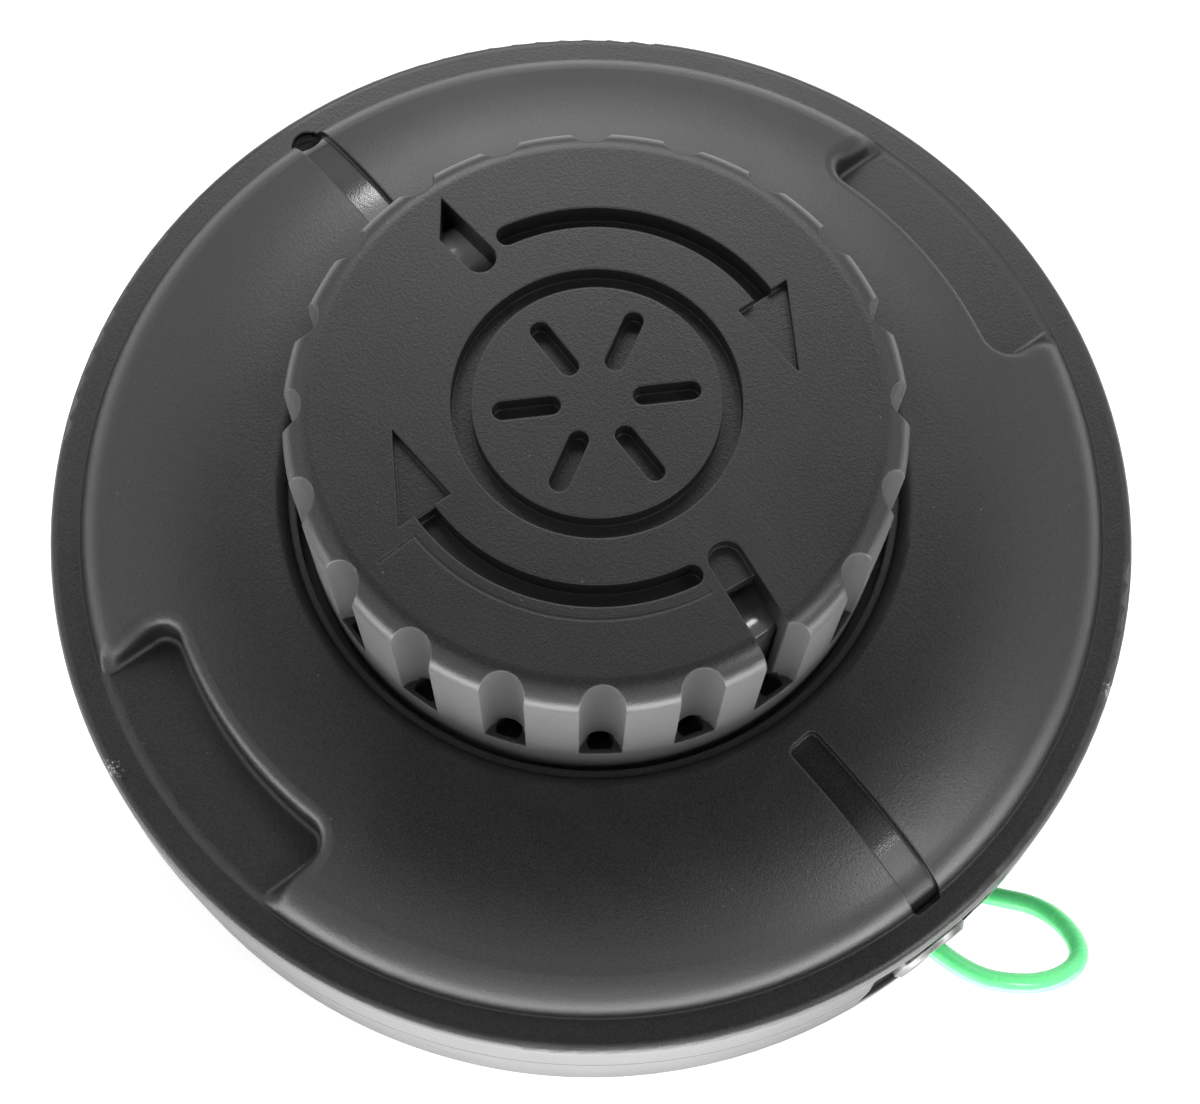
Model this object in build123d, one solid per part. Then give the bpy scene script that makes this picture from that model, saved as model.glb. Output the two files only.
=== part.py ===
"""Bump-feed trimmer head, bump knob up, resting on its back seat. Millimetres, Z up, line channel along X."""
import math
import os
from build123d import *

# Driving sizes, heights above the back seat at zero
DISH_R = 65.2           # outer radius of the dish at its rim ring
KNOB_R = 34.0           # outer radius of the bump knob
RIM_Z = 36.0            # flat rim ring of the dish
FACE_Z = 65.7           # bump face of the knob
TRAVEL = 5.5            # bump travel of knob and spool
LINE_D = 2.4            # trimmer line
SHELL = 2.4             # moulded wall of the dish and of the housing floor

# Clearances
SEAM = 0.2              # gap between dish edge and housing edge
STOP_GAP = 0.3          # rest gap between spool stop ring and dish
HOLE_GAP = 1.0          # radial gap between knob and dish
SPOOL_GAP = 1.2         # radial gap between spool and pad walls
FIT = 0.1               # gap of pieces pushed together by hand
RUN = 0.06              # radial gap of the spool on its post
PRESS = 0.02            # gap of the insert in its pocket
CUP_GAP = 0.05          # gap between spring cup and spool web
WIND_GAP = 0.12         # gap around the turns of line
BITE = 0.5              # depth by which a feature sinks into the wall that carries it
OVER = 5.0              # length by which a cut runs past the surface

# Cover dish
EDGE_DRAFT = 0.4        # the drum is wider than the rim ring by this
SKIRT_H = 9.0           # height of the dish's outer edge
SKIRT = 2.8             # thickness of that edge at the drum
RIM_W = 3.7             # width of the flat rim ring
RIM_ROUND = 1.2
SHOULDER_W = 4.0        # fall of the shoulder towards the crease at the rim
SHOULDER_RISE = 4.3     # height above the rim where it starts
CREASE = 1.4            # the shell's inside meets the rim this far inside the crease
DOME_EDGE = 3.5         # the dome starts this far outside the knob
DOME_RISE = 8.2         # height of that edge above the rim ring
DOME_MID = 1.0          # middle point of its arc, outside the mean of edge and shoulder
DOME_MID_RISE = 7.3
RECESS_DROP = 1.6       # ring around the knob, below the dome's edge
COLLAR = 3.6            # thickness of the dish around the knob
SPIGOT = 1.8            # ring below the edge that centres the dish in the drum
SPIGOT_H = 3.2
SPIGOT_ROOT = 2.0
GROOVE_W = 4.0          # line grooves across the dome
GROOVE_DEPTH = 1.2
GROOVE_FALL = 2.4       # depth of the open groove at the hole of the dish
GROOVE_ROUND = 0.9
GROOVE_START = 1.7      # the blind groove starts this far outside the dome's edge
GROOVE_STOP = 0.7       # both end this far inside the crease
GROOVE_SKEW = 4.0       # degrees that the blind groove is turned about its middle
FAR_HOLE_R = 1.9        # hole at the end of the open groove
HOLE_LIP = 1.6          # round edge in that hole, which the line runs over
PAD_W = 33.0            # two recessed grip pads
PAD_BACK = 1.7          # they reach in to this far short of the middle of the dome
PAD_Z = 0.5             # pad floor above the rim ring
PAD_WALL = 2.0          # floor and walls of a pad
PAD_ROUND = 2.6         # inner corners of a pad
PAD_FOOT = 0.8          # round between floor and walls
PAD_EDGE = 2.0          # rounded upper edge of the walls
PAD_SKIN = 1.0          # the walls end this deep below the dome's surface
LATCH_W = 12.0          # two arms that snap into the drum
LATCH_T = 1.8
LATCH_GAP = 1.2         # between arm and drum wall
LATCH_LOW = 14.6
LATCH_WINDOW_H = 6.0
LATCH_PLAY = 1.0        # hook below the top of its window
HOOK_LEAD = 2.0         # slope at the tip of the hook
HOOK_TIP = 0.4
HOOK_SINK = 0.3         # hook face below the drum's surface
TEETH = 12              # ratchet
TOOTH_W = 4.2
TOOTH_H = 1.3
TOOTH_IN = 1.6          # teeth start this far outside the stop ring
TOOTH_OUT = 1.9         # and end this far inside the spool's edge
TOOTH_GAP = 0.5

# Bump knob
KNOB_WALL = 3.4
KNOB_TOP = 4.2
KNOB_ROUND = 3.2
KNOB_IN_ROUND = 2.0
FLUTES = 20
FLUTE_R = 2.4
BASE_RING = 8.2         # plain ring below the flutes
WINDOW_R = 1.5          # round window in the foot of each flute
WINDOW_IN = 1.6         # its axis inside the knob's surface
WINDOW_LIP = 0.6        # it ends this far inside that surface
WINDOW_RISE = 0.9       # it reaches this far above the plain ring
WINDOW_SINK = 4.0       # and this far below its top
WINDOW_WAY = 2.2        # width of its way into the knob
WINDOW_ROOF = 1.0       # top of that way below the top of the plain ring
ARROW_IN = 11.9         # middle of the winding arrows inside the knob's surface
ARROW_W = 2.4
ARROW_SPREAD = 3.3      # half width of an arrow head
ARROW_DEPTH = 3.0
ARROW_HEAD_DEPTH = 1.1
ARROW_TAIL = 169.5      # degrees
ARROW_NECK = 88.0
ARROW_TIP = 62.0
STEP_IN = 9.4           # fine step line in the face, inside the knob's surface
STEP_OUT = 4.6          # its radial end reaches out to here
STEP_W = 0.3
STEP_DEPTH = 0.15
STEP_FROM = -88.0       # degrees
STEP_TO = -8.0
MARK_IN = 7.5           # plain ring groove in the middle of the face, inside the arrows
MARK_W = 2.2
MARK_DEPTH = 2.2
RAYS = 6
RAY_START = 5.0         # centre of the inner end of a ray
RAY_END = 4.4           # centre of the outer end, inside the ring groove
SLOT_W = 3.9            # line slot through face and wall
SLOT_IN = 11.6          # centre of its round inner end, inside the knob's surface
SLOT_SKEW = -7.0        # degrees that it is turned about that centre
SLOT_LEDGE = 9.0        # shallow ledge up to here
SLOT_LEDGE_DEPTH = 1.6
DROP_W = 3.6            # pointed line opening on the other side
DROP_SKEW = 6.0         # degrees that it is turned about its round end
DROP_IN = 12.7          # centre of its round inner end, knee and tip, inside the knob's surface
DROP_KNEE = 8.1
DROP_TIP = 4.3

# Spool, post and spring
FLANGE = 1.6
MID_FLANGE = 1.2
DECK = 7.5              # clear height of each winding deck
BUMP_ROOM = 0.7         # room left below the spool at the end of its travel
CORE_R = 21.5
CORE_WALL = 3.0
TUBE = 1.8              # core tube inside the knob
TUBE_GAP = 4.5          # below the knob's top
WEB_DROP = 3.8          # web inside the core, below the spool's top
WEB = 2.4
STOP_W = 2.0            # ring under the dish that stops the spool
SEAT_RING = 2.2         # ring that the knob is pushed on to
SEAT_RING_H = 4.5
RAMP_W = 6.0            # curved line ramps below the openings of the knob
DROP_RAMP = (8.4, 0.4, 4.4)   # crest inside the knob's surface, below its top wall, radius
SLOT_RAMP = (7.6, 0.4, 4.2)
RAMP_GAP = 0.6
WIND_IN = 6.0           # the turns of line end this far inside the flanges
POST_R = 9.0
POST_BORE_R = 6.0
BORE_DRAFT = 0.3        # the bore of the post widens towards the hub
POST_PROUD = 4.4        # post above the web
BOSS_R = 16.8
BOSS_TOP = 16.0
SPRING_WIRE = 1.6
SPRING_R = 11.7         # mean coil radius
SPRING_TURNS = 5
CUP_R = 14.6
CUP = 1.4
CUP_LIP = 1.0
CUP_LIP_H = 2.5
CUP_ROOM = 0.2          # the cup's hole is wider than the spool's bore by this

# Eyelets
EYE_Z = 26.0
EYE_BORE_R = 3.0
EYE_TUBE_R = 4.1
EYE_FLANGE_R = 5.2
EYE_SINK = 1.2          # flat of the wall pad below the drum's surface
EYE_WALL = 3.0          # wall pad between the flanges
EYE_REACH = 3.8         # bush inside the wall pad
EYE_PROUD = 1.6         # outer flange
EYE_PAD_W = 18.0
EYE_PAD_LOW = 8.5       # wall pad below the eyelet's axis
EYE_PAD_HIGH = 7.2      # and above it
EYE_EDGE = 0.6
EYE_LEAD = 1.2          # chamfer of the bore at its inner end
EYE_FLARE = 1.3         # flared mouth
EYE_FLARE_L = 2.0

# Housing
WALL = 3.2              # drum wall
FOOT_ROUND = 2.6        # round edge below the drum
CONE_Z = 10.0           # cone below the drum, at its outer and inner ends
CONE_IN_Z = 5.8
CONE_IN_R = 34.0
FLOOR_LIFT = 0.6        # the floor is thicker at the drum by this
SEAT_R = 31.0
SEAT_IN_R = 24.0
HUB_Z = 0.6             # hub face just inside the seat
HUB_R = 14.2
RELIEF_TOP = 4.4        # relief between hub and seat ring
SPOKES = 6
SPOKE_W = 2.2
RIB_COUNT = 12
RIB_W = 2.0
RIB_LOW = 1.2           # depth of the ribs below the cone, and their foot above the seat
RIB_END = 2.0           # they end this far inside cone and seat ring

# Threaded flange insert in the hub, M10 x 1.25
TAP_R = 4.4
TAP_CHAMFER = 0.8
INSERT_AF = 17.0
INSERT_Z0 = 1.2
INSERT_Z1 = 14.0
INSERT_FLANGE_R = 11.4
INSERT_FLANGE = 2.4
WASHER_R = 8.3
WASHER_T = 1.5

DRUM_R = DISH_R + EDGE_DRAFT
WALL_IN_R = DRUM_R - WALL
SKIRT_IN_R = DRUM_R - SKIRT
VALLEY_R = DISH_R - RIM_W
SHOULDER_R = VALLEY_R - SHOULDER_W
DOME_R = KNOB_R + DOME_EDGE
DOME_Z = RIM_Z + DOME_RISE
RECESS_Z = DOME_Z - RECESS_DROP
HOLE_R = KNOB_R + HOLE_GAP
SEAM_Z = RIM_Z - SKIRT_H
WALL_TOP = SEAM_Z - SEAM
GROOVE_START_R = DOME_R + GROOVE_START
GROOVE_END_R = VALLEY_R - GROOVE_STOP
PAD_IN_R = (VALLEY_R + DOME_R) / 2 + PAD_BACK
LATCH_R = WALL_IN_R - LATCH_GAP
SPOOL_R = PAD_IN_R - PAD_WALL - SPOOL_GAP
SPOOL_LOW = CONE_Z + SHELL + BUMP_ROOM + TRAVEL
DECK_1 = SPOOL_LOW + FLANGE
DECK_2 = DECK_1 + DECK + MID_FLANGE
SPOOL_TOP = DECK_2 + DECK + FLANGE
TOOTH_IN_R = DOME_R + STOP_W + TOOTH_IN
TOOTH_OUT_R = SPOOL_R - TOOTH_OUT
CORE_IN_R = CORE_R - CORE_WALL
WEB_Z = SPOOL_TOP - WEB_DROP
POST_TOP = WEB_Z + WEB + POST_PROUD
KNOB_IN_R = KNOB_R - KNOB_WALL
KNOB_IN_Z = FACE_Z - KNOB_TOP
BASE_RING_Z = SPOOL_TOP + BASE_RING
ARROW_R = KNOB_R - ARROW_IN
MARK_R = ARROW_R - MARK_IN
EYE_WALL_OUT = DRUM_R - EYE_SINK
EYE_WALL_IN = EYE_WALL_OUT - EYE_WALL
EYE_IN_X = EYE_WALL_IN - EYE_REACH
EYE_OUT_X = EYE_WALL_OUT + EYE_PROUD
CONE_R = DRUM_R - FOOT_ROUND
DRUM_LOW = CONE_Z + FOOT_ROUND
QUARTER = math.sqrt(0.5)

# Loop of line at the eyelet: points along the free end, from inside the bore to the tip under the drum
BORE_LOW = EYE_Z - EYE_BORE_R + LINE_D / 2 + PRESS
LOOP = [(DRUM_R - 7.7, 0.0, BORE_LOW), (DRUM_R + 3.4, 0.6, BORE_LOW), (DRUM_R + 11.2, 8.3, BORE_LOW - 1.8),
        (DRUM_R + 12.2, 16.4, BORE_LOW - 5.6), (DRUM_R + 4.8, 18.2, BORE_LOW - 10.4),
        (DRUM_R - 2.1, 13.4, CONE_Z - 1.0), (DRUM_R - 7.0, 10.0, CONE_Z - 2.4)]


def lathe(points):
    """Turns a closed outline of (radius, height) points about Z."""
    outline = Polyline(*[(r, 0, z) for r, z in points], close=True)
    return revolve(make_face(outline), Axis.Z)


def ring(r_out, r_in, z0, z1):
    return lathe([(r_in, z0), (r_out, z0), (r_out, z1), (r_in, z1)])


def rod(r, z0, z1):
    return Pos(0, 0, z0) * Cylinder(r, z1 - z0, align=(Align.CENTER, Align.CENTER, Align.MIN))


def rod_x(r, x0, x1, z):
    return Pos(x0, 0, z) * Rot(0, 90, 0) * Cylinder(r, x1 - x0, align=(Align.CENTER, Align.CENTER, Align.MIN))


def block(x0, x1, y0, y1, z0, z1):
    return Pos((x0 + x1) / 2, (y0 + y1) / 2, (z0 + z1) / 2) * Box(x1 - x0, y1 - y0, z1 - z0)


def around(shape, count, start=0.0):
    return [Rot(0, 0, start + 360.0 / count * i) * shape for i in range(count)]


def turned(shape, x, angle):
    """Turns a shape about the upright line through (x, 0)."""
    return Pos(x, 0, 0) * Rot(0, 0, angle) * Pos(-x, 0, 0) * shape


def polar(r, angle):
    """Flat point at a radius and an angle in degrees."""
    return (r * math.cos(math.radians(angle)), r * math.sin(math.radians(angle)))


def quarter(r, z, size, side, up):
    """Quarter round about (r, z) in the section: side 1 is outwards, up 1 is upwards."""
    bend = size * QUARTER
    return ThreePointArc((r + side * size, 0, z), (r + side * bend, 0, z + up * bend), (r, 0, z + up * size))


def dome_face(drop, inset):
    """Arc of the dome and its shoulder, lowered by drop and moved in by inset at the outer end."""
    inner = (DOME_R, 0, DOME_Z - drop)
    middle = ((DOME_R + SHOULDER_R) / 2 + DOME_MID, 0, RIM_Z + DOME_MID_RISE - drop)
    knee = (SHOULDER_R - inset / 2, 0, RIM_Z + SHOULDER_RISE - drop)
    dome = ThreePointArc(inner, middle, knee)
    foot = (VALLEY_R - inset, 0, RIM_Z - drop)
    fall = TangentArc(knee, foot, tangent=dome % 1)
    return dome, fall


def under_dome(depth):
    """Turned solid that fills the room below the dome, down from a depth under its surface."""
    top, fall = dome_face(depth, depth)
    first = top @ 0
    last = fall @ 1
    low = RIM_Z - SKIRT_H
    rest = Polyline((last.X, 0, last.Z), (last.X, 0, low), (first.X, 0, low), (first.X, 0, first.Z))
    return revolve(make_face([top, fall, rest]), Axis.Z)


def over_dome(depth):
    """Turned solid from a depth below the dome's surface up to well above it."""
    top, fall = dome_face(depth, 0)
    first = top @ 0
    last = fall @ 1
    high = DOME_Z + OVER
    fall_z = DOME_Z - GROOVE_FALL
    lead = Polyline((VALLEY_R + BITE, 0, high), (HOLE_R - OVER, 0, high), (HOLE_R - OVER, 0, fall_z),
                    (HOLE_R, 0, fall_z), (first.X, 0, first.Z))
    tail = Polyline((last.X, 0, last.Z), (VALLEY_R + BITE, 0, last.Z), (VALLEY_R + BITE, 0, high))
    return revolve(make_face([lead, top, fall, tail]), Axis.Z)


def on_pad_top(point):
    """True for the middle of an edge where a grip pad's walls come up through the dome."""
    inside = abs(point.X) < PAD_W / 2 + FIT and abs(point.Y) > PAD_IN_R / 2
    r = math.hypot(point.X, point.Y)
    dome = RIM_Z + PAD_Z + PAD_FOOT + FIT
    return inside and PAD_IN_R - FIT < r < VALLEY_R - FIT and point.Z > dome


def cover_dish():
    top, top_fall = dome_face(0, 0)
    low, low_fall = dome_face(SHELL, CREASE)
    lip = quarter(DOME_R, RECESS_Z, RECESS_DROP, -1, 1)
    rim = Line((VALLEY_R, 0, RIM_Z), (DISH_R - RIM_ROUND, 0, RIM_Z))
    corner = quarter(DISH_R - RIM_ROUND, RIM_Z - RIM_ROUND, RIM_ROUND, 1, 1)
    spigot_out = WALL_IN_R - FIT
    spigot_in = spigot_out - SPIGOT
    edge = Polyline((DISH_R, 0, RIM_Z - RIM_ROUND), (DRUM_R, 0, SEAM_Z), (spigot_out, 0, SEAM_Z),
                    (spigot_out, 0, SEAM_Z - SPIGOT_H), (spigot_in, 0, SEAM_Z - SPIGOT_H),
                    (spigot_in, 0, SEAM_Z),
                    (SKIRT_IN_R, 0, SEAM_Z + SPIGOT_ROOT), (SKIRT_IN_R, 0, RIM_Z - SHELL),
                    (VALLEY_R - CREASE, 0, RIM_Z - SHELL))
    collar_r = DOME_R - STOP_GAP
    close = Polyline((DOME_R, 0, DOME_Z - SHELL), (collar_r, 0, DOME_Z - SHELL), (collar_r, 0, DOME_Z - COLLAR),
                     (HOLE_R, 0, DOME_Z - COLLAR), (HOLE_R, 0, RECESS_Z), (DOME_R - RECESS_DROP, 0, RECESS_Z))
    dish = revolve(make_face([lip, top, top_fall, rim, corner, edge, low_fall, low, close]), Axis.Z)
    # flat wall pads that hold the upper half of each eyelet
    half = EYE_PAD_W / 2
    spare = block(EYE_IN_X, DRUM_R + OVER, -half - FIT, half + FIT, SEAM_Z - OVER, SEAM_Z)
    pad = block(EYE_WALL_IN, SKIRT_IN_R + BITE, -half, half, SEAM_Z, EYE_Z + EYE_PAD_HIGH)
    pad = fillet(pad.edges().filter_by(Axis.Y).group_by(Axis.Z)[-1].sort_by(Axis.X)[0], HOLE_LIP)
    face = block(EYE_WALL_OUT, DRUM_R + OVER, -half, half, SEAM_Z - BITE, EYE_Z + EYE_PAD_HIGH)
    tube = rod_x(EYE_TUBE_R + FIT, EYE_IN_X, DRUM_R + OVER, EYE_Z)
    lip_room = rod_x(EYE_FLANGE_R + FIT, EYE_IN_X - BITE, EYE_WALL_IN, EYE_Z)
    for turn in (0, 180):
        dish -= Rot(0, 0, turn) * spare
        dish += Rot(0, 0, turn) * pad
        dish -= Rot(0, 0, turn) * face
        dish -= Rot(0, 0, turn) * tube
        dish -= Rot(0, 0, turn) * lip_room
    # latch arms that snap into the drum
    hook_z = LATCH_LOW + LATCH_WINDOW_H - LATCH_PLAY
    hook_r = DRUM_R - HOOK_SINK
    arm = block(-LATCH_W / 2, LATCH_W / 2, LATCH_R - LATCH_T, LATCH_R, LATCH_LOW, RIM_Z - BITE)
    hook = Polyline((0, LATCH_R - BITE, LATCH_LOW), (0, LATCH_R + HOOK_TIP, LATCH_LOW),
                    (0, hook_r, hook_z - HOOK_LEAD), (0, hook_r, hook_z),
                    (0, LATCH_R - BITE, hook_z), close=True)
    arm += Pos(-LATCH_W / 2, 0, 0) * extrude(make_face(hook), LATCH_W, dir=(1, 0, 0))
    for turn in (0, 180):
        dish += Rot(0, 0, turn) * arm
    # ratchet teeth under the dome
    tooth_top = DOME_Z - SHELL + BITE
    tooth = block(TOOTH_IN_R, TOOTH_OUT_R, -TOOTH_W / 2, TOOTH_W / 2, SPOOL_TOP + TOOTH_GAP, tooth_top)
    dish += around(tooth, TEETH, 180.0 / TEETH)
    # grip pads with their own floor and walls
    wide = PAD_W / 2 + PAD_WALL
    bed = block(-wide, wide, 0, DISH_R, RIM_Z + PAD_Z - PAD_WALL, DOME_Z)
    bed -= rod(PAD_IN_R - PAD_WALL, RIM_Z - OVER, DOME_Z + OVER)
    bed = bed & under_dome(PAD_SKIN)
    pad = block(-PAD_W / 2, PAD_W / 2, 0, DISH_R, RIM_Z + PAD_Z, DOME_Z + OVER)
    pad -= rod(PAD_IN_R, RIM_Z, DOME_Z + 2 * OVER)
    pad = pad & rod(VALLEY_R, RIM_Z, DOME_Z + 2 * OVER)
    pad = fillet(pad.edges().filter_by(Axis.Z).sort_by(Axis.Y)[:2], PAD_ROUND)
    pad = fillet(pad.edges().group_by(Axis.Z)[0].sort_by(Axis.Y)[:-1], PAD_FOOT)
    for turn in (0, 180):
        dish += Rot(0, 0, turn) * bed
        dish -= Rot(0, 0, turn) * pad
    dish = fillet([e for e in dish.edges().filter_by(GeomType.BSPLINE) if on_pad_top(e @ 0.5)], PAD_EDGE)
    # grooves: a blind one and an open one that ends in a hole above the eyelet
    band = over_dome(GROOVE_DEPTH)
    low_z = RIM_Z - OVER
    high_z = DOME_Z + OVER
    tip = Pos(GROOVE_END_R, 0, 0) * rod(GROOVE_W / 2, low_z, high_z)
    near = block(GROOVE_START_R, GROOVE_END_R, -GROOVE_W / 2, GROOVE_W / 2, low_z, high_z)
    near = fillet(near.edges().filter_by(Axis.Z).sort_by(Axis.X)[:2], GROOVE_ROUND)
    middle = (GROOVE_START_R + GROOVE_END_R) / 2
    dish -= turned(near + tip, middle, GROOVE_SKEW) & band
    far = block(HOLE_R - HOLE_GAP, GROOVE_END_R, -GROOVE_W / 2, GROOVE_W / 2, low_z, high_z)
    dish -= Rot(0, 0, 180) * ((far + tip) & band)
    dish -= Pos(-GROOVE_END_R, 0, 0) * rod(FAR_HOLE_R, RIM_Z - SHELL - BITE / 2, high_z)
    return dish


def back_housing():
    floor = CONE_IN_Z + SHELL
    outside = Polyline((DRUM_R, 0, DRUM_LOW), (DRUM_R, 0, WALL_TOP), (WALL_IN_R, 0, WALL_TOP),
                       (WALL_IN_R, 0, CONE_Z + SHELL + FLOOR_LIFT), (CONE_IN_R, 0, floor), (BOSS_R, 0, floor),
                       (BOSS_R, 0, BOSS_TOP), (POST_R, 0, BOSS_TOP), (POST_R, 0, POST_TOP),
                       (POST_BORE_R, 0, POST_TOP), (POST_BORE_R + BORE_DRAFT, 0, HUB_Z),
                       (SEAT_IN_R, 0, HUB_Z), (SEAT_IN_R, 0, 0), (SEAT_R, 0, 0),
                       (CONE_IN_R, 0, CONE_IN_Z), (CONE_R, 0, CONE_Z))
    foot = quarter(CONE_R, DRUM_LOW, FOOT_ROUND, 1, -1)
    body = revolve(make_face([outside, foot]), Axis.Z)
    # pocket of the threaded insert, its flange and its washer
    body -= extrude(RegularPolygon(INSERT_AF / 2, 6, major_radius=False), INSERT_Z1 + WASHER_T + FIT)
    body -= rod(INSERT_FLANGE_R + FIT, -OVER, INSERT_Z0 + INSERT_FLANGE)
    # relief between hub and seat ring
    body -= ring(SEAT_IN_R, HUB_R, -OVER, RELIEF_TOP)
    spoke = block(HUB_R - BITE, SEAT_IN_R + BITE, -SPOKE_W / 2, SPOKE_W / 2, HUB_Z, RELIEF_TOP + BITE)
    body += around(spoke, SPOKES)
    # ribs under the cone
    rib_in = SEAT_R - RIB_END
    rib_out = CONE_R - RIB_END
    rib_line = Polyline((rib_in, 0, RIB_LOW), (rib_out, 0, CONE_Z - RIB_LOW), (rib_out, 0, CONE_Z + BITE),
                        (rib_in, 0, CONE_IN_Z + BITE), close=True)
    rib = Pos(0, RIB_W / 2, 0) * extrude(make_face(rib_line), RIB_W, dir=(0, -1, 0))
    body += around(rib, RIB_COUNT, 180.0 / RIB_COUNT)
    # flat wall pads that hold the lower half of each eyelet
    half = EYE_PAD_W / 2
    pad = block(EYE_WALL_IN, WALL_IN_R + BITE, -half, half, EYE_Z - EYE_PAD_LOW, WALL_TOP)
    face = block(EYE_WALL_OUT, DRUM_R + OVER, -half, half, EYE_Z - EYE_PAD_LOW, WALL_TOP + OVER)
    tube = rod_x(EYE_TUBE_R + FIT, EYE_IN_X, DRUM_R + OVER, EYE_Z)
    for turn in (0, 180):
        body += Rot(0, 0, turn) * pad
        body -= Rot(0, 0, turn) * face
        body -= Rot(0, 0, turn) * tube
    # windows that the latch hooks snap into
    wide = LATCH_W / 2 + BITE
    window = block(-wide, wide, WALL_IN_R - BITE, DRUM_R + OVER, LATCH_LOW - BITE, LATCH_LOW + LATCH_WINDOW_H)
    for turn in (0, 180):
        body -= Rot(0, 0, turn) * window
    return body


def eyelet():
    """Flanged steel bush with a flared mouth, turned about X."""
    lip = EYE_FLANGE_R
    edge = EYE_EDGE
    points = [(EYE_BORE_R, EYE_IN_X + EYE_LEAD), (EYE_BORE_R + edge, EYE_IN_X), (lip - edge, EYE_IN_X),
              (lip, EYE_IN_X + edge), (lip, EYE_WALL_IN - FIT), (EYE_TUBE_R, EYE_WALL_IN - FIT),
              (EYE_TUBE_R, EYE_WALL_OUT + FIT), (lip, EYE_WALL_OUT + FIT), (lip, EYE_OUT_X - edge),
              (lip - edge, EYE_OUT_X), (EYE_BORE_R + EYE_FLARE, EYE_OUT_X),
              (EYE_BORE_R + EYE_FLARE / 3, EYE_OUT_X - EYE_FLARE_L / 3), (EYE_BORE_R, EYE_OUT_X - EYE_FLARE_L)]
    outline = Polyline(*[(x, r, 0) for r, x in points], close=True)
    return Pos(0, 0, EYE_Z) * revolve(make_face(outline), Axis.X)


def drive_insert():
    hexagon = RegularPolygon(INSERT_AF / 2 - PRESS, 6, major_radius=False)
    body = extrude(Pos(0, 0, INSERT_Z0) * hexagon, INSERT_Z1 - INSERT_Z0)
    body += rod(INSERT_FLANGE_R, INSERT_Z0, INSERT_Z0 + INSERT_FLANGE)
    body -= rod(TAP_R, -OVER, INSERT_Z1 + OVER)
    mouth = Cone(TAP_R + TAP_CHAMFER, TAP_R, TAP_CHAMFER, align=(Align.CENTER, Align.CENTER, Align.MIN))
    return body - Pos(0, 0, INSERT_Z0) * mouth


def insert_washer():
    return ring(WASHER_R, POST_BORE_R + BORE_DRAFT, INSERT_Z1, INSERT_Z1 + WASHER_T)


def line_ramp(side, x, z, half):
    """Curved ramp with its crest at (x, z), kept clear of the core tube and of the knob's seat ring."""
    ramp = block(x - half, x + half, -RAMP_W / 2, RAMP_W / 2, SPOOL_TOP - BITE, z - half)
    ramp += Pos(x, 0, z - half) * Rot(90, 0, 0) * Cylinder(half, RAMP_W)
    ramp -= rod(CORE_IN_R - TUBE / 2, SPOOL_TOP, FACE_Z)
    ramp = ramp & rod(KNOB_IN_R - FIT - RAMP_GAP, 0, FACE_Z)
    return Rot(0, 0, side) * ramp


def spool():
    bore = POST_R + RUN
    stop_z = DOME_Z - SHELL - STOP_GAP
    tube_in = CORE_IN_R - TUBE
    tube_top = KNOB_IN_Z - TUBE_GAP
    profile = [(CORE_IN_R, SPOOL_LOW), (SPOOL_R, SPOOL_LOW), (SPOOL_R, DECK_1), (CORE_R, DECK_1),
               (CORE_R, DECK_1 + DECK), (SPOOL_R, DECK_1 + DECK), (SPOOL_R, DECK_2), (CORE_R, DECK_2),
               (CORE_R, DECK_2 + DECK), (SPOOL_R, DECK_2 + DECK), (SPOOL_R, SPOOL_TOP),
               (DOME_R + STOP_W, SPOOL_TOP), (DOME_R + STOP_W, stop_z), (DOME_R, stop_z),
               (DOME_R, SPOOL_TOP), (CORE_IN_R, SPOOL_TOP), (CORE_IN_R, tube_top), (tube_in, tube_top),
               (tube_in, WEB_Z + WEB), (bore, WEB_Z + WEB), (bore, WEB_Z), (CORE_IN_R, WEB_Z)]
    body = lathe(profile)
    # ring that the knob is pushed on to
    seat_r = KNOB_IN_R - FIT
    body += ring(seat_r, seat_r - SEAT_RING, SPOOL_TOP - BITE, SPOOL_TOP + SEAT_RING_H)
    # ratchet teeth between those of the dish
    tooth = block(TOOTH_IN_R, TOOTH_OUT_R, -TOOTH_W / 2, TOOTH_W / 2, SPOOL_TOP - BITE, SPOOL_TOP + TOOTH_H)
    body += around(tooth, TEETH)
    for side, (depth, drop, half) in ((180, DROP_RAMP), (0, SLOT_RAMP)):
        body += line_ramp(side, KNOB_R - depth, KNOB_IN_Z - drop, half)
    return body


def windings(z0):
    """Turns of line on one deck as one body, grooved on the outside between the turns."""
    turns = int((DECK - 2 * WIND_GAP) / LINE_D)
    start = z0 + (DECK - turns * LINE_D) / 2
    centre_r = SPOOL_R - WIND_IN - LINE_D / 2
    body = ring(centre_r, CORE_R + WIND_GAP, start, start + turns * LINE_D)
    for i in range(turns):
        body += Pos(0, 0, start + LINE_D * (i + 0.5)) * Torus(centre_r, LINE_D / 2)
    return body


def spring():
    half = SPRING_WIRE / 2
    low = BOSS_TOP + half
    rise = WEB_Z - CUP_GAP - CUP - half - low
    path = Pos(0, 0, low) * Helix(rise / SPRING_TURNS, rise, SPRING_R)
    start = Plane(origin=path @ 0, z_dir=path % 0)
    return sweep(start * Circle(half), path=path)


def spring_cup():
    top = WEB_Z - CUP_GAP
    body = ring(CUP_R, POST_R + RUN + CUP_ROOM, top - CUP, top)
    body += ring(CUP_R, CUP_R - CUP_LIP, top - CUP - CUP_LIP_H, top)
    return body


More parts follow.
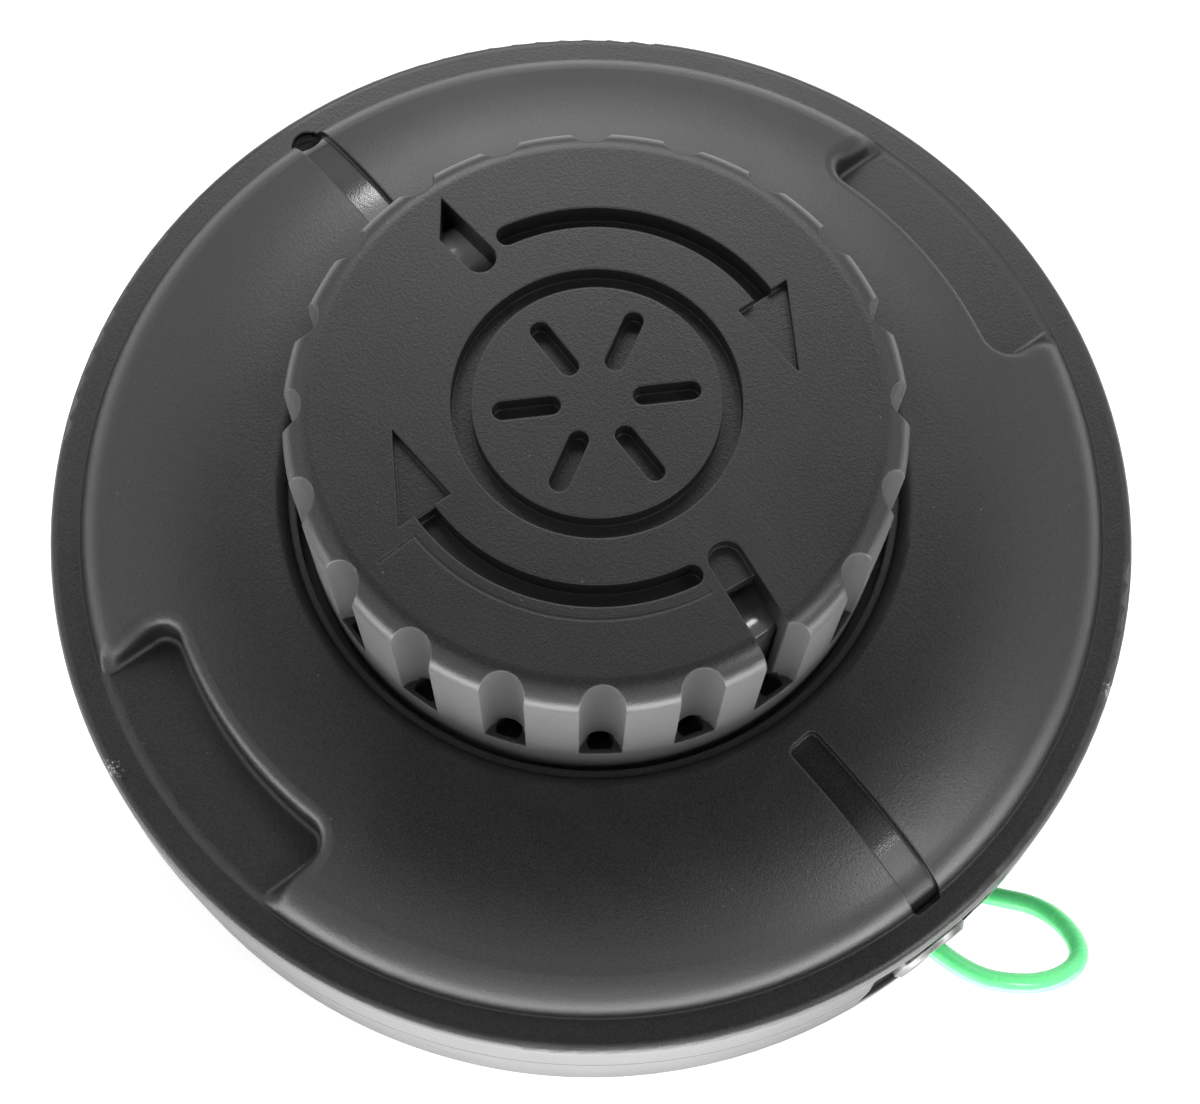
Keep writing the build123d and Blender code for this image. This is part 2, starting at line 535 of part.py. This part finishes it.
def bump_knob():
    shell = rod(KNOB_R, SPOOL_TOP, FACE_Z)
    shell = fillet(shell.edges().filter_by(GeomType.CIRCLE).group_by(Axis.Z)[-1], KNOB_ROUND)
    hollow = rod(KNOB_IN_R, SPOOL_TOP - OVER, KNOB_IN_Z)
    hollow = fillet(hollow.edges().filter_by(GeomType.CIRCLE).group_by(Axis.Z)[-1], KNOB_IN_ROUND)
    knob = shell - hollow
    # finger flutes that run out through the rounded edge, each with a round window in its foot
    top = FACE_Z + OVER
    low = BASE_RING_Z - WINDOW_SINK
    axis_r = KNOB_R - WINDOW_IN
    flute = Pos(KNOB_R, 0, 0) * rod(FLUTE_R, BASE_RING_Z, top)
    window = Pos(axis_r, 0, 0) * rod(WINDOW_R, low, BASE_RING_Z + WINDOW_RISE)
    window = window & rod(KNOB_R - WINDOW_LIP, low, top)
    way = WINDOW_WAY / 2
    window += block(KNOB_IN_R - OVER / 2, axis_r, -way, way, low, BASE_RING_Z - WINDOW_ROOF)
    knob -= around(flute, FLUTES)
    knob -= around(window, FLUTES)
    # line slot, open through face and wall
    half = SLOT_W / 2
    ledge_z = FACE_Z - SLOT_LEDGE_DEPTH
    ledge_r = KNOB_R - SLOT_LEDGE
    end_r = KNOB_R - SLOT_IN
    slot = block(ledge_r, KNOB_R + OVER, -half, half, BASE_RING_Z, top)
    slot += block(end_r, ledge_r + BITE, -half, half, ledge_z, top)
    slot += Pos(end_r, 0, 0) * rod(half, ledge_z, top)
    knob -= turned(slot, end_r, SLOT_SKEW)
    # pointed line opening
    half = DROP_W / 2
    round_x = DROP_IN - KNOB_R
    drop = make_face(Polyline((round_x, -half), (DROP_KNEE - KNOB_R, -half), (DROP_TIP - KNOB_R, half),
                              (round_x, half), close=True))
    drop += Pos(round_x, 0) * Circle(half)
    opening = extrude(Pos(0, 0, KNOB_IN_Z - BITE) * drop, KNOB_TOP + OVER)
    knob -= turned(opening, round_x, DROP_SKEW)
    # winding arrows
    for turn in (0, 180):
        knob -= Rot(0, 0, turn) * arrow()
    # fine step line with a radial end
    knob -= step_line()
    # plain ring and rays in the middle of the face
    low = FACE_Z - MARK_DEPTH
    ray_out = MARK_R - RAY_END
    knob -= ring(MARK_R + MARK_W / 2, MARK_R - MARK_W / 2, low, top)
    ray = block(RAY_START, ray_out, -MARK_W / 2, MARK_W / 2, low, top)
    ray += Pos(RAY_START, 0, 0) * rod(MARK_W / 2, low, top)
    ray += Pos(ray_out, 0, 0) * rod(MARK_W / 2, low, top)
    knob -= around(ray, RAYS)
    return knob


def step_line():
    """Fine line cut in the face: an arc with a radial end."""
    half = STEP_W / 2
    r = KNOB_R - STEP_IN
    floor = FACE_Z - STEP_DEPTH
    far = 2 * KNOB_R
    wedge = make_face(Polyline((0, 0), polar(far, STEP_FROM), polar(far, STEP_TO), close=True))
    arc = ring(r + half, r - half, floor, FACE_Z + OVER)
    arc = arc & extrude(Pos(0, 0, floor) * wedge, STEP_DEPTH + OVER)
    end = block(r - half, KNOB_R - STEP_OUT, -half, half, floor, FACE_Z + OVER)
    return arc + Rot(0, 0, STEP_FROM) * end


def arrow():
    """Arc-shaped winding arrow pointing clockwise, cut from above."""
    half = ARROW_W / 2
    mid = (ARROW_TAIL + ARROW_NECK) / 2
    outer = [polar(ARROW_R + half, a) for a in (ARROW_TAIL, mid, ARROW_NECK)]
    inner = [polar(ARROW_R - half, a) for a in (ARROW_NECK, mid, ARROW_TAIL)]
    ends = [Line(outer[2], inner[0]), Line(inner[2], outer[0])]
    tail = make_face([ThreePointArc(*outer), ThreePointArc(*inner), *ends])
    tail += Pos(*polar(ARROW_R, ARROW_TAIL)) * Circle(half)
    head = make_face(Polyline(polar(ARROW_R + ARROW_SPREAD, ARROW_NECK), polar(ARROW_R, ARROW_TIP),
                              polar(ARROW_R - ARROW_SPREAD, ARROW_NECK), close=True))
    body = extrude(Pos(0, 0, FACE_Z - ARROW_DEPTH) * tail, ARROW_DEPTH + OVER)
    body += extrude(Pos(0, 0, FACE_Z - ARROW_HEAD_DEPTH) * head, ARROW_HEAD_DEPTH + OVER)
    return body


def line_loop():
    """Free end of the line: straight runs joined by tangent arcs as large as the runs allow."""
    points = [Vector(*p) for p in LOOP]
    runs = [(b - a).length for a, b in zip(points, points[1:])]
    radii = []
    for i in range(1, len(points) - 1):
        turn = math.radians((points[i] - points[i - 1]).get_angle(points[i + 1] - points[i]))
        radii.append(0.45 * min(runs[i - 1], runs[i]) / math.tan(turn / 2))
    route = FilletPolyline(*LOOP, radius=radii)
    print("line loop bend radii:", [round(r, 1) for r in radii])
    plane = Plane(origin=route @ 0, z_dir=route % 0)
    body = sweep(plane * Circle(LINE_D / 2), path=route)
    print("line loop length", round(route.length, 1), "volume share",
          round(body.volume / (math.pi * LINE_D ** 2 / 4 * route.length), 4))
    return body


def main():
    os.makedirs("parts", exist_ok=True)
    parts = {
        "back_housing": back_housing(),
        "cover_dish": cover_dish(),
        "drive_insert": drive_insert(),
        "insert_washer": insert_washer(),
        "eyelet_loop_side": eyelet(),
        "eyelet_open_side": Rot(0, 0, 180) * eyelet(),
        "spring": spring(),
        "spring_cup": spring_cup(),
        "spool": spool(),
        "line_lower": windings(DECK_1),
        "line_upper": windings(DECK_2),
        "bump_knob": bump_knob(),
        "line_loop": line_loop(),
    }
    for name, shape in parts.items():
        solids = shape.solids()
        box = shape.bounding_box()
        print(f"{name:18s} solids {len(solids)} volume {shape.volume:10.1f} "
              f"z {box.min.Z:6.2f}..{box.max.Z:6.2f} r {max(box.max.X, box.max.Y):6.2f} valid {shape.is_valid}")
        export_step(shape if len(solids) > 1 else solids[0], f"parts/{name}.step")


main()
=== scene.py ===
"""Trimmer head: finishes of the moulded pieces, the loop of line, floor, light and camera."""
import math
import bmesh
import bpy
from mathutils import Matrix, Vector


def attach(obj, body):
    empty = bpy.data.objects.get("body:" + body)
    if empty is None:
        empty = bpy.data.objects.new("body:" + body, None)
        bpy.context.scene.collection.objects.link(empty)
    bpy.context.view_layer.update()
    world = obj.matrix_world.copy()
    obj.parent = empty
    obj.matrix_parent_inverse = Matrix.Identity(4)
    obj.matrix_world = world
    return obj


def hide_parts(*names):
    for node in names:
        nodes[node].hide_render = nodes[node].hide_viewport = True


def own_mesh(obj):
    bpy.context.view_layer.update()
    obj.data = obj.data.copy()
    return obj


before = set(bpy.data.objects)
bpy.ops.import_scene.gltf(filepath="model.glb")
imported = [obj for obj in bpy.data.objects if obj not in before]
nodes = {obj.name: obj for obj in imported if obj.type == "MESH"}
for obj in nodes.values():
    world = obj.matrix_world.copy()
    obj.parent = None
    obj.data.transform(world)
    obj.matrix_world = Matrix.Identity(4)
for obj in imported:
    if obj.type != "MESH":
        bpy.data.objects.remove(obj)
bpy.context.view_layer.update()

# Route of the loop of line, from inside the eyelet to the tip under the drum, in metres
LINE_ROUTE = [
    (0.0579, 0.0, 0.02422), (0.0690, 0.0006, 0.02422), (0.0768, 0.0083, 0.02242),
    (0.0778, 0.0164, 0.01862), (0.0704, 0.0182, 0.01382), (0.0635, 0.0134, 0.0090),
    (0.0586, 0.0100, 0.0076),
]
LINE_D = 0.0024
# Glow of the table under the head, and in the painted pool of light in front of it
FLOOR_GLOW = (0.5, 9.0)
# The table lies a hair below the back of the head, so that no faces coincide
FLOOR_DROP = 0.0002
# Brightness of the room by the height of the direction: 0 is level, 1 straight up
SKY = ((0.0, 0.35), (0.4, 1.25), (0.78, 1.25), (0.91, 0.12), (1.0, 0.08))
# Corners of triangles closer than this are one
SAME_PLACE = 1e-7
# Level direction from the head towards the camera
FRONT = Vector((0.767, -0.642, 0.0))
# Middle of the head, at which the lights are aimed
AIM = Vector((0, 0, 0.03))

# Refraction of the plastic, then scales of the noise patterns on the mouldings, per metre
PLASTIC_IOR = 1.52
FINE_GRAIN = 5600
COARSE_GRAIN = 2300
CHIPS = 1900
DUST = 1500
SMUDGES = 38
CLOUDS = 9
# Greys of dust, of the painted sheen on upright walls, of the chips and of the painted highlights
DUST_GREY = 0.2
PAINTED_SHEEN_GREY = 0.13
CHIP_GREY = 0.3
PAINTED_HIGHLIGHT_GREY = 0.3
# Upward part of the normal between which a face goes from upright to flat
UPRIGHT, FLAT = 0.05, 0.5
# Widths over which the painted sheen on a wall and the ends of a smooth strip fade
WALL_FADE = 0.0038
STRIP_FADE = 0.002
# Samples taken to round off an edge
EDGE_SAMPLES = 6


class Finish:
    """A node material under construction: a Principled shader fed from Object coordinates."""

    def __init__(self, name):
        self.material = bpy.data.materials.new(name)
        self.material.use_nodes = True
        self.tree = self.material.node_tree
        self.tree.nodes.clear()
        self.shader = self.add("ShaderNodeBsdfPrincipled")
        out = self.add("ShaderNodeOutputMaterial")
        self.tree.links.new(self.shader.outputs["BSDF"], out.inputs["Surface"])
        self.place = self.add("ShaderNodeTexCoord").outputs["Object"]

    def add(self, kind, **settings):
        node = self.tree.nodes.new(kind)
        for key, value in settings.items():
            setattr(node, key, value)
        return node

    def feed(self, socket, value):
        if isinstance(value, bpy.types.NodeSocket):
            self.tree.links.new(value, socket)
        else:
            socket.default_value = value

    def set(self, **values):
        """Constants on the shader's own sockets."""
        for key, value in values.items():
            self.shader.inputs[key.replace("_", " ")].default_value = value

    def stretched(self, scale):
        node = self.add("ShaderNodeMapping")
        self.feed(node.inputs["Vector"], self.place)
        node.inputs["Scale"].default_value = scale
        return node.outputs["Vector"]

    def noise(self, scale, detail=3.0, rough=0.55, where=None, bend=0.0):
        node = self.add("ShaderNodeTexNoise")
        self.feed(node.inputs["Vector"], where or self.place)
        node.inputs["Scale"].default_value = scale
        node.inputs["Detail"].default_value = detail
        node.inputs["Roughness"].default_value = rough
        node.inputs["Distortion"].default_value = bend
        return node.outputs["Fac"]

    def remap(self, value, low, high, to_low=0.0, to_high=1.0):
        node = self.add("ShaderNodeMapRange")
        self.feed(node.inputs["Value"], value)
        ends = {"From Min": low, "From Max": high, "To Min": to_low, "To Max": to_high}
        for key, number in ends.items():
            node.inputs[key].default_value = number
        return node.outputs["Result"]

    def maths(self, operation, a, b=0.0):
        node = self.add("ShaderNodeMath", operation=operation)
        self.feed(node.inputs[0], a)
        self.feed(node.inputs[1], b)
        return node.outputs[0]

    def blend(self, share, a, b):
        node = self.add("ShaderNodeMix", data_type="RGBA")
        self.feed(node.inputs["Factor"], share)
        self.feed(node.inputs["A"], a)
        self.feed(node.inputs["B"], b)
        return node.outputs["Result"]

    def near(self, point, reach):
        """1 at a point of the piece, fading to 0 at reach."""
        node = self.add("ShaderNodeVectorMath", operation="DISTANCE")
        self.feed(node.inputs[0], self.place)
        node.inputs[1].default_value = point
        return self.remap(node.outputs["Value"], 0.0, reach, 1.0, 0.0)

    def along(self, direction):
        """Distance from the middle of the piece along a direction."""
        node = self.add("ShaderNodeVectorMath", operation="DOT_PRODUCT")
        self.feed(node.inputs[0], self.place)
        node.inputs[1].default_value = direction
        return node.outputs["Value"]

    def wall(self, radius):
        """1 on upright faces outside a radius about the spindle axis, 0 elsewhere."""
        flat = self.add("ShaderNodeVectorMath", operation="MULTIPLY")
        self.feed(flat.inputs[0], self.place)
        flat.inputs[1].default_value = (1, 1, 0)
        reach = self.add("ShaderNodeVectorMath", operation="LENGTH")
        self.feed(reach.inputs[0], flat.outputs["Vector"])
        parts = self.add("ShaderNodeSeparateXYZ")
        self.feed(parts.inputs["Vector"], self.add("ShaderNodeNewGeometry").outputs["Normal"])
        upward = self.maths("ABSOLUTE", parts.outputs["Z"])
        upright = self.remap(upward, UPRIGHT, FLAT, 1.0, 0.0)
        outside = self.remap(reach.outputs["Value"], radius, radius + WALL_FADE)
        return self.maths("MULTIPLY", upright, outside)

    def strip(self, middle, turn, half_length, half_width):
        """1 on a strip across the X axis, turned by some degrees about its middle."""
        turn = math.radians(turn)
        cos, sin = math.cos(turn), math.sin(turn)
        way = self.maths("SUBTRACT", self.along((cos, sin, 0)), middle * cos)
        off = self.maths("ADD", self.along((-sin, cos, 0)), middle * sin)
        way = self.maths("ABSOLUTE", way)
        inside = self.remap(way, half_length - STRIP_FADE, half_length, 1.0, 0.0)
        narrow = self.maths("LESS_THAN", self.maths("ABSOLUTE", off), half_width)
        return self.maths("MULTIPLY", inside, narrow)

    def soft_edges(self, size):
        """Normal that runs smoothly over the edges."""
        node = self.add("ShaderNodeBevel", samples=EDGE_SAMPLES)
        node.inputs["Radius"].default_value = size
        return node.outputs["Normal"]

    def relief(self, height, depth, strength=1.0, under=None):
        node = self.add("ShaderNodeBump")
        self.feed(node.inputs["Height"], height)
        node.inputs["Distance"].default_value = depth
        node.inputs["Strength"].default_value = strength
        if under is not None:
            self.feed(node.inputs["Normal"], under)
        return node.outputs["Normal"]


def grey(value, warm=0.0):
    return (value * (1 + warm), value, value * (1 - warm), 1.0)


def black_moulding(name, tone, gloss, grain, edge, painted_sheen_radius=None, nicks=(), slick=(), painted_glint_spots=()):
    """Black moulding with spark-eroded grain, smudges and dust.

    painted_sheen_radius is the radius outside which upright walls are painted pale, a painted
    reflection of the bright table. nicks and painted_glint_spots list the pale chips and the
    painted highlights as point and reach, and slick lists the smooth strips.
    """
    f = Finish(name)
    f.set(IOR=PLASTIC_IOR, Specular_IOR_Level=0.5)
    fine = f.noise(FINE_GRAIN, 2.0, 0.6)
    coarse = f.noise(COARSE_GRAIN, 2.0, 0.5)
    smudge = f.noise(SMUDGES, 4.0, 0.6, bend=0.4)
    cloud = f.noise(CLOUDS, 2.0)
    speck = f.remap(fine, 0.35, 0.65)
    dust = f.remap(f.noise(DUST, 1.0), 0.77, 0.83)
    colour = f.blend(smudge, grey(tone * 0.82), grey(tone * 1.25, -0.01))
    colour = f.blend(f.maths("MULTIPLY", cloud, 0.3), colour, grey(tone * 1.5))
    colour = f.blend(f.maths("MULTIPLY", speck, 0.6), colour, grey(tone * 5))
    colour = f.blend(f.maths("MULTIPLY", dust, 0.2), colour, grey(DUST_GREY))
    # Painted sheen: upright outer walls painted pale, standing in for the reflection of the bright
    # table.
    if painted_sheen_radius:
        painted_sheen_mask = f.maths("MULTIPLY", f.wall(painted_sheen_radius), f.remap(coarse, 0.3, 0.7, 0.8, 1.0))
        colour = f.blend(painted_sheen_mask, colour, grey(PAINTED_SHEEN_GREY))
    worn = dust
    for point, reach in nicks:
        ragged = f.remap(f.noise(CHIPS, 2.0, 0.6), 0.46, 0.62)
        chip = f.maths("MULTIPLY", f.near(point, reach), ragged)
        chip = f.remap(chip, 0.22, 0.5)
        colour = f.blend(f.maths("MULTIPLY", chip, 0.7), colour, grey(CHIP_GREY, 0.02))
        worn = f.maths("MAXIMUM", worn, chip)
    rough = f.remap(smudge, 0.25, 0.75, gloss - 0.05, gloss + 0.06)
    rough = f.maths("ADD", rough, f.maths("MULTIPLY", worn, 0.1))
    # Painted highlights: pale spots standing in for glints on shiny lips in the shade of holes.
    for point, reach in painted_glint_spots:
        painted_highlight = f.remap(f.near(point, reach), 0.0, 0.4)
        colour = f.blend(painted_highlight, colour, grey(PAINTED_HIGHLIGHT_GREY))
        rough = f.maths("MULTIPLY", rough, f.remap(painted_highlight, 0.0, 1.0, 1.0, 0.5))
    f.feed(f.shader.inputs["Base Color"], colour)
    body = f.maths("ADD", f.maths("MULTIPLY", fine, 0.8), f.maths("MULTIPLY", coarse, 0.6))
    body = f.maths("SUBTRACT", body, f.maths("MULTIPLY", worn, 0.4))
    for strip in slick:
        plain = f.maths("SUBTRACT", 1.0, f.maths("MULTIPLY", f.strip(*strip), 0.65))
        rough = f.maths("MULTIPLY", rough, plain)
        body = f.maths("MULTIPLY", body, plain)
    f.feed(f.shader.inputs["Roughness"], rough)
    f.feed(f.shader.inputs["Normal"], f.relief(body, grain, 0.6, f.soft_edges(edge)))
    return f.material


def gloss_moulding(name):
    """Smooth black moulding of the spool: faint swirl, rub marks, one ramp painted pale as a
    painted reflection.
    """
    f = Finish(name)
    f.set(IOR=PLASTIC_IOR)
    swirl = f.noise(120, 3.0, 0.5, bend=1.2)
    rub = f.remap(f.noise(1.0, 2.0, 0.5, f.stretched((900, 60, 60)), 0.3), 0.6, 0.8)
    colour = f.blend(rub, grey(0.04), grey(0.07))
    # Painted reflection: the ramp under the teardrop opening is painted pale, standing in for the
    # bright sky it mirrors.
    painted_highlight = f.remap(f.near((-0.0256, 0.0, 0.0608), 0.006), 0.1, 0.4)
    f.feed(f.shader.inputs["Base Color"], f.blend(painted_highlight, colour, grey(0.6)))
    f.feed(f.shader.inputs["Roughness"], f.remap(swirl, 0.3, 0.7, 0.12, 0.2))
    marks = f.maths("ADD", swirl, rub)
    f.feed(f.shader.inputs["Normal"], f.relief(marks, 0.00003, 0.3, f.soft_edges(0.0003)))
    return f.material


def drawn_line(name):
    """Bright green nylon line with die lines and a little dirt."""
    f = Finish(name)
    f.set(IOR=1.53, Coat_Weight=0.35, Coat_Roughness=0.12)
    f.set(Subsurface_Weight=0.12, Subsurface_Scale=0.001)
    shade = f.noise(160, 3.0, 0.55)
    lines = f.noise(1.0, 2.0, 0.5, f.stretched((420, 420, 3200)), 0.0)
    dirt = f.remap(f.noise(700, 3.0, 0.6), 0.66, 0.8)
    colour = f.blend(shade, (0.1, 0.9, 0.25, 1), (0.2, 1.0, 0.38, 1))
    colour = f.blend(f.maths("MULTIPLY", dirt, 0.3), colour, (0.08, 0.5, 0.12, 1))
    f.feed(f.shader.inputs["Base Color"], colour)
    f.feed(f.shader.inputs["Roughness"], f.remap(lines, 0.3, 0.7, 0.16, 0.34))
    f.feed(f.shader.inputs["Normal"], f.relief(lines, 0.00006, 0.4))
    return f.material


def plated_steel(name, tone, gloss, brush):
    """Plated steel with turning marks along brush, small stains and edges worn round."""
    f = Finish(name)
    f.set(Metallic=1.0)
    marks = f.noise(1.0, 2.0, 0.5, f.stretched(brush))
    stain = f.noise(300, 4.0, 0.6)
    colour = f.blend(f.remap(stain, 0.45, 0.75), grey(tone), grey(tone * 0.7, 0.03))
    f.feed(f.shader.inputs["Base Color"], colour)
    f.feed(f.shader.inputs["Roughness"], f.remap(stain, 0.3, 0.7, gloss - 0.05, gloss + 0.1))
    f.feed(f.shader.inputs["Normal"], f.relief(marks, 0.00003, 0.35, f.soft_edges(0.00015)))
    return f.material


def paper_floor(name):
    """White table paper that glows, brightest in a painted band of light in front of the head, so
    that it fades into the background.
    """
    f = Finish(name)
    f.set(Specular_IOR_Level=0.2, Emission_Color=(1.0, 1.0, 1.0, 1.0))
    fleck = f.noise(60, 4.0, 0.6)
    f.feed(f.shader.inputs["Base Color"], f.blend(fleck, grey(0.84), grey(0.88)))
    f.feed(f.shader.inputs["Roughness"], f.remap(fleck, 0.3, 0.7, 0.55, 0.7))
    f.feed(f.shader.inputs["Normal"], f.relief(f.noise(500, 3.0), 0.0002, 0.1))
    # Painted pool of light: the paper glows brightest in a band in front of the head, lighting the
    # walls that face it.
    ahead = f.along(FRONT)
    rise = f.remap(ahead, 0.06, 0.16)
    fall = f.remap(ahead, 0.2, 0.38, 1.0, 0.0)
    pool = f.maths("MINIMUM", rise, fall)
    f.feed(f.shader.inputs["Emission Strength"], f.remap(pool, 0.0, 1.0, *FLOOR_GLOW))
    return f.material


def paint(material, *names):
    """Gives solids one finish all over."""
    for name in names:
        slots = nodes[name].data.materials
        slots.clear()
        slots.append(material)


def mesh_object(name, bm):
    mesh = bpy.data.meshes.new(name)
    bm.to_mesh(mesh)
    bm.free()
    piece = bpy.data.objects.new(name, mesh)
    bpy.context.scene.collection.objects.link(piece)
    return piece


def loop_of_line(material):
    """Free end of line that leaves the eyelet and goes back under the drum."""
    curve = bpy.data.curves.new("green_loop", "CURVE")
    curve.dimensions = "3D"
    spline = curve.splines.new("NURBS")
    spline.points.add(len(LINE_ROUTE) - 1)
    for point, place in zip(spline.points, LINE_ROUTE):
        point.co = (*place, 1.0)
    spline.order_u = 3
    spline.use_endpoint_u = True
    spline.resolution_u = 16
    curve.bevel_depth = LINE_D / 2
    curve.bevel_resolution = 8
    curve.use_fill_caps = True
    curve.materials.append(material)
    piece = bpy.data.objects.new("green_loop", curve)
    bpy.context.scene.collection.objects.link(piece)
    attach(piece, "head")
    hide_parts("line_loop")


def spindle_thread(material):
    """Helical crest of the M10 thread inside the insert."""
    bm = bmesh.new()
    root, root_half = 0.00445, 0.0005
    crest, crest_half = 0.0041, 0.0001
    pitch = 0.00125
    low = 0.0022
    turns = 9
    steps = 48 * turns
    ridge = ((root, -root_half), (crest, -crest_half), (crest, crest_half), (root, root_half))
    corners = [bm.verts.new((r, 0, low + z)) for r, z in ridge]
    edges = [bm.edges.new(pair) for pair in zip(corners, corners[1:])]
    bmesh.ops.spin(bm, geom=corners + edges, cent=(0, 0, 0), axis=(0, 0, 1),
                   dvec=(0, 0, pitch * turns / steps), angle=math.tau * turns,
                   steps=steps, use_merge=False)
    bmesh.ops.recalc_face_normals(bm, faces=bm.faces)
    for face in bm.faces:
        face.smooth = True
    piece = mesh_object("spindle_thread", bm)
    piece.data.materials.append(material)
    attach(piece, "head")


def pressed_spring(material):
    """Copy of the spring's coils, with corners in one place merged."""
    bm = bmesh.new()
    bm.from_mesh(nodes["spring"].data)
    bmesh.ops.remove_doubles(bm, verts=bm.verts, dist=SAME_PLACE)
    bm.transform(nodes["spring"].matrix_world)
    piece = mesh_object("pressed_spring", bm)
    piece.data.materials.append(material)
    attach(piece, "head")
    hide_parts("spring")
    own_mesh(piece)


def floor():
    bm = bmesh.new()
    bmesh.ops.create_circle(bm, cap_ends=True, radius=4.0, segments=96)
    bmesh.ops.translate(bm, verts=bm.verts, vec=(0, 0, -FLOOR_DROP))
    piece = mesh_object("floor", bm)
    piece.data.materials.append(paper_floor("floor_paper"))


def soft_light(name, place, size, power):
    """Rectangle of light aimed at the middle of the head."""
    lamp = bpy.data.lights.new(name, "AREA")
    lamp.shape = "RECTANGLE"
    lamp.size, lamp.size_y = size
    lamp.energy = power
    piece = bpy.data.objects.new(name, lamp)
    piece.location = place
    piece.rotation_mode = "QUATERNION"
    piece.rotation_quaternion = (AIM - Vector(place)).to_track_quat("-Z", "Y")
    bpy.context.scene.collection.objects.link(piece)


def studio():
    """Dim room round the bright table: a broad light behind, a low one in front, two small ones."""
    world = bpy.data.worlds.new("studio")
    bpy.context.scene.world = world
    world.use_nodes = True
    tree = world.node_tree
    sky = tree.nodes.new("ShaderNodeTexCoord")
    height = tree.nodes.new("ShaderNodeSeparateXYZ")
    fade = tree.nodes.new("ShaderNodeValToRGB")
    for stop in SKY[2:]:
        fade.color_ramp.elements.new(stop[0])
    for element, (place, tone) in zip(fade.color_ramp.elements, SKY):
        element.position = place
        element.color = grey(tone)
    tree.links.new(sky.outputs["Generated"], height.inputs["Vector"])
    tree.links.new(height.outputs["Z"], fade.inputs["Fac"])
    tree.links.new(fade.outputs["Color"], tree.nodes["Background"].inputs["Color"])
    soft_light("behind", (-0.80, 0.67, 1.01), (0.9, 0.8), 6.2)
    soft_light("front", (0.61, -0.51, 0.24), (0.7, 0.28), 0.8)
    soft_light("window", (0.63, 0.23, 0.62), (0.12, 0.2), 1.4)
    soft_light("lamp", (-0.86, 0.31, 0.80), (0.14, 0.09), 0.8)
    view = bpy.context.scene.view_settings
    view.view_transform = "Standard"
    view.look = "None"


def camera():
    """Camera of the photograph: 70 degrees above the table, turned a little about its own axis."""
    place = Vector((0.0700, -0.0566, 0.26953))
    forward = Vector((-0.25894, 0.21461, -0.94175)).normalized()
    side = forward.cross(Vector((0, 0, 1))).normalized()
    top = side.cross(forward)
    roll = math.radians(-2.6889)
    right = side * math.cos(roll) - top * math.sin(roll)
    up = side * math.sin(roll) + top * math.cos(roll)
    data = bpy.data.cameras.new("camera")
    data.sensor_width = 36.0
    data.lens = 62.255
    data.clip_start = 0.01
    piece = bpy.data.objects.new("camera", data)
    turn = Matrix((right, up, -forward)).transposed()
    piece.matrix_world = Matrix.Translation(place) @ turn.to_4x4()
    bpy.context.scene.collection.objects.link(piece)
    bpy.context.scene.camera = piece


def main():
    camera()
    studio()
    floor()
    dish = black_moulding(
        "dish_moulding", 0.006, 0.34, 0.00005, 0.0004,
        nicks=[((-0.0067, -0.0645, 0.0357), 0.0022), ((0.0553, 0.0342, 0.0357), 0.0016)],
        slick=[(0.0470, 4.0, 0.0080, 0.0019), (-0.0480, 0.0, 0.014, 0.0019)],
        # Painted highlight on the rounded lip inside the far hole.
        painted_glint_spots=[((-0.0614, 0.0, 0.0332), 0.0026)])
    # The knob's outer walls get the painted sheen.
    knob = black_moulding("knob_moulding", 0.006, 0.32, 0.00005, 0.0003, painted_sheen_radius=0.0300)
    housing = black_moulding("housing_moulding", 0.006, 0.36, 0.00006, 0.0006)
    line = drawn_line("green_line")
    insert = plated_steel("zinc_insert", 0.5, 0.28, (60, 60, 2200))
    paint(dish, "cover_dish")
    paint(knob, "bump_knob")
    paint(housing, "back_housing")
    paint(gloss_moulding("spool_moulding"), "spool")
    paint(line, "line_lower", "line_upper", "line_loop")
    eyelet = plated_steel("burnished_eyelet", 0.16, 0.22, (2600, 60, 60))
    paint(eyelet, "eyelet_loop_side", "eyelet_open_side")
    paint(insert, "drive_insert")
    washer = plated_steel("plain_washer", 0.58, 0.3, (60, 60, 1800))
    paint(washer, "insert_washer", "spring_cup")
    wire = plated_steel("spring_wire", 0.46, 0.25, (60, 60, 2600))
    paint(wire, "spring")
    loop_of_line(line)
    spindle_thread(insert)
    pressed_spring(wire)


main()
